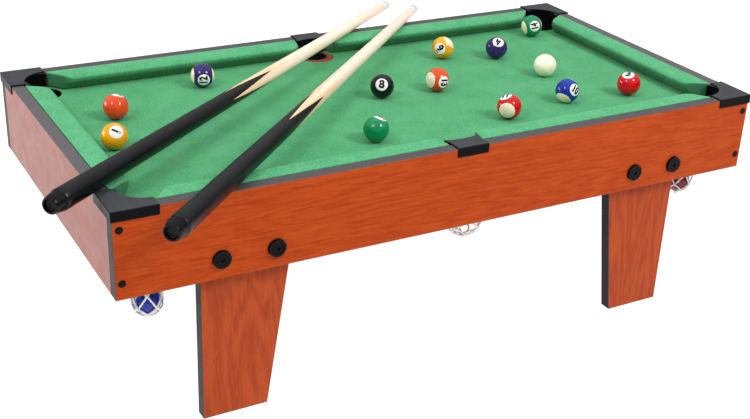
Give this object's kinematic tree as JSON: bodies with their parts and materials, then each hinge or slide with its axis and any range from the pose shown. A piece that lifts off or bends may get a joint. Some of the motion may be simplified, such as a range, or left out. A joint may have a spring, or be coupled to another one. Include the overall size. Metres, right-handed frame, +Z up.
{
  "type": "tabletop pool table",
  "caption": "Tabletop pool table: framed felt bed on board legs with cushions, netted pockets, numbered balls and cues.",
  "frame": {"origin": "on the floor under the middle of the whole set's bounding box, the two overhanging cues included", "axes": "+X along the table's length, towards the end with no cue butt over it; +Y towards the back rail, where the cue tips lie; +Z up"},
  "size_m": [0.7518, 0.5046, 0.2558],
  "materials": {
    "cherry_board": "satin printed cherry veneer with dark painted edges",
    "bare_fibreboard": "raw fibreboard",
    "bed_felt": "napped felt",
    "cushion_felt": "napped felt over foam",
    "black_plastic": "satin moulded",
    "black_metal": "black oxide",
    "zinc_steel": "zinc plated",
    "net_cord": "twisted cotton cord",
    "cue_rubber": "moulded rubber",
    "cue_wood": "lacquered, black butt with pale points",
    "cue_ferrule": "polished",
    "cue_tip": "pressed leather",
    "ball_cue": "polished",
    "ball_1": "polished",
    "ball_2": "polished",
    "ball_3": "polished",
    "ball_4": "polished",
    "ball_5": "polished",
    "ball_6": "polished",
    "ball_7": "polished",
    "ball_8": "polished",
    "ball_9": "polished",
    "ball_10": "polished",
    "ball_11": "polished",
    "ball_12": "polished",
    "ball_13": "polished",
    "ball_14": "polished",
    "ball_15": "polished"
  },
  "bodies": {
    "table": {"back_apron": "cherry_board", "bed_board": "bare_fibreboard", "bed_cleats": "bare_fibreboard", "bed_cloth": "bed_felt", "cleat_screws": "zinc_steel", "corner_cap_back_left": "black_plastic", "corner_cap_back_right": "black_plastic", "corner_cap_front_left": "black_plastic", "corner_cap_front_right": "black_plastic", "corner_screws": "black_metal", "cushion_back_left": "cushion_felt", "cushion_back_right": "cushion_felt", "cushion_front_left": "cushion_felt", "cushion_front_right": "cushion_felt", "cushion_left": "cushion_felt", "cushion_right": "cushion_felt", "front_apron": "cherry_board", "left_end_board": "cherry_board", "leg_back_left": "cherry_board", "leg_back_right": "cherry_board", "leg_bolt_washers": "black_plastic", "leg_bolts": "black_metal", "leg_front_left": "cherry_board", "leg_front_right": "cherry_board", "leg_nuts": "zinc_steel", "middle_cap_back": "black_plastic", "middle_cap_front": "black_plastic", "net_back_left": "net_cord", "net_back_right": "net_cord", "net_front_left": "net_cord", "net_front_right": "net_cord", "net_middle_back": "net_cord", "net_middle_front": "net_cord", "right_end_board": "cherry_board"},
    "ball_1_body": {"ball_1": "ball_1"},
    "ball_10_body": {"ball_10": "ball_10"},
    "ball_11_body": {"ball_11": "ball_11"},
    "ball_12_body": {"ball_12": "ball_12"},
    "ball_13_body": {"ball_13": "ball_13"},
    "ball_14_body": {"ball_14": "ball_14"},
    "ball_15_body": {"ball_15": "ball_15"},
    "ball_2_body": {"ball_2": "ball_2"},
    "ball_3_body": {"ball_3": "ball_3"},
    "ball_4_body": {"ball_4": "ball_4"},
    "ball_5_body": {"ball_5": "ball_5"},
    "ball_6_body": {"ball_6": "ball_6"},
    "ball_7_body": {"ball_7": "ball_7"},
    "ball_8_body": {"ball_8": "ball_8"},
    "ball_9_body": {"ball_9": "ball_9"},
    "ball_cue_body": {"ball_cue": "ball_cue"},
    "cue_1": {"cue_1_bumper": "cue_rubber", "cue_1_ferrule": "cue_ferrule", "cue_1_stick": "cue_wood", "cue_1_tip": "cue_tip"},
    "cue_2": {"cue_2_bumper": "cue_rubber", "cue_2_ferrule": "cue_ferrule", "cue_2_stick": "cue_wood", "cue_2_tip": "cue_tip"}
  },
  "joints": [
    {"name": "ball_1_lift", "type": "slide", "parent": "table", "child": "ball_1_body", "axis": [0, 0, 1], "range_m": [0, 0.08]},
    {"name": "ball_10_lift", "type": "slide", "parent": "table", "child": "ball_10_body", "axis": [0, 0, 1], "range_m": [0, 0.08]},
    {"name": "ball_11_lift", "type": "slide", "parent": "table", "child": "ball_11_body", "axis": [0, 0, 1], "range_m": [0, 0.08]},
    {"name": "ball_12_lift", "type": "slide", "parent": "table", "child": "ball_12_body", "axis": [0, 0, 1], "range_m": [0, 0.08]},
    {"name": "ball_13_lift", "type": "slide", "parent": "table", "child": "ball_13_body", "axis": [0, 0, 1], "range_m": [0, 0.08]},
    {"name": "ball_14_lift", "type": "slide", "parent": "table", "child": "ball_14_body", "axis": [0, 0, 1], "range_m": [0, 0.08]},
    {"name": "ball_15_lift", "type": "slide", "parent": "table", "child": "ball_15_body", "axis": [0.0288, 0.0288, 0.9992], "range_m": [0, 0.14]},
    {"name": "ball_2_lift", "type": "slide", "parent": "table", "child": "ball_2_body", "axis": [-0.0379, -0.019, 0.9991], "range_m": [0, 0.14]},
    {"name": "ball_3_lift", "type": "slide", "parent": "table", "child": "ball_3_body", "axis": [0, 0, 1], "range_m": [0, 0.08]},
    {"name": "ball_4_lift", "type": "slide", "parent": "table", "child": "ball_4_body", "axis": [0, 0, 1], "range_m": [0, 0.08]},
    {"name": "ball_5_lift", "type": "slide", "parent": "table", "child": "ball_5_body", "axis": [0, 0, 1], "range_m": [0, 0.08]},
    {"name": "ball_6_lift", "type": "slide", "parent": "table", "child": "ball_6_body", "axis": [0, 0, 1], "range_m": [0, 0.08]},
    {"name": "ball_7_lift", "type": "slide", "parent": "table", "child": "ball_7_body", "axis": [0.1207, -0.0302, 0.9922], "range_m": [0, 0.14]},
    {"name": "ball_8_lift", "type": "slide", "parent": "table", "child": "ball_8_body", "axis": [0, 0, 1], "range_m": [0, 0.08]},
    {"name": "ball_9_lift", "type": "slide", "parent": "table", "child": "ball_9_body", "axis": [0, 0, 1], "range_m": [0, 0.08]},
    {"name": "ball_cue_lift", "type": "slide", "parent": "table", "child": "ball_cue_body", "axis": [0, 0, 1], "range_m": [0, 0.08]},
    {"name": "cue_1_lift", "type": "slide", "parent": "table", "child": "cue_1", "axis": [0, 0, 1], "range_m": [0, 0.08]},
    {"name": "cue_2_lift", "type": "slide", "parent": "table", "child": "cue_2", "axis": [0, 0, 1], "range_m": [0, 0.08]}
  ]
}
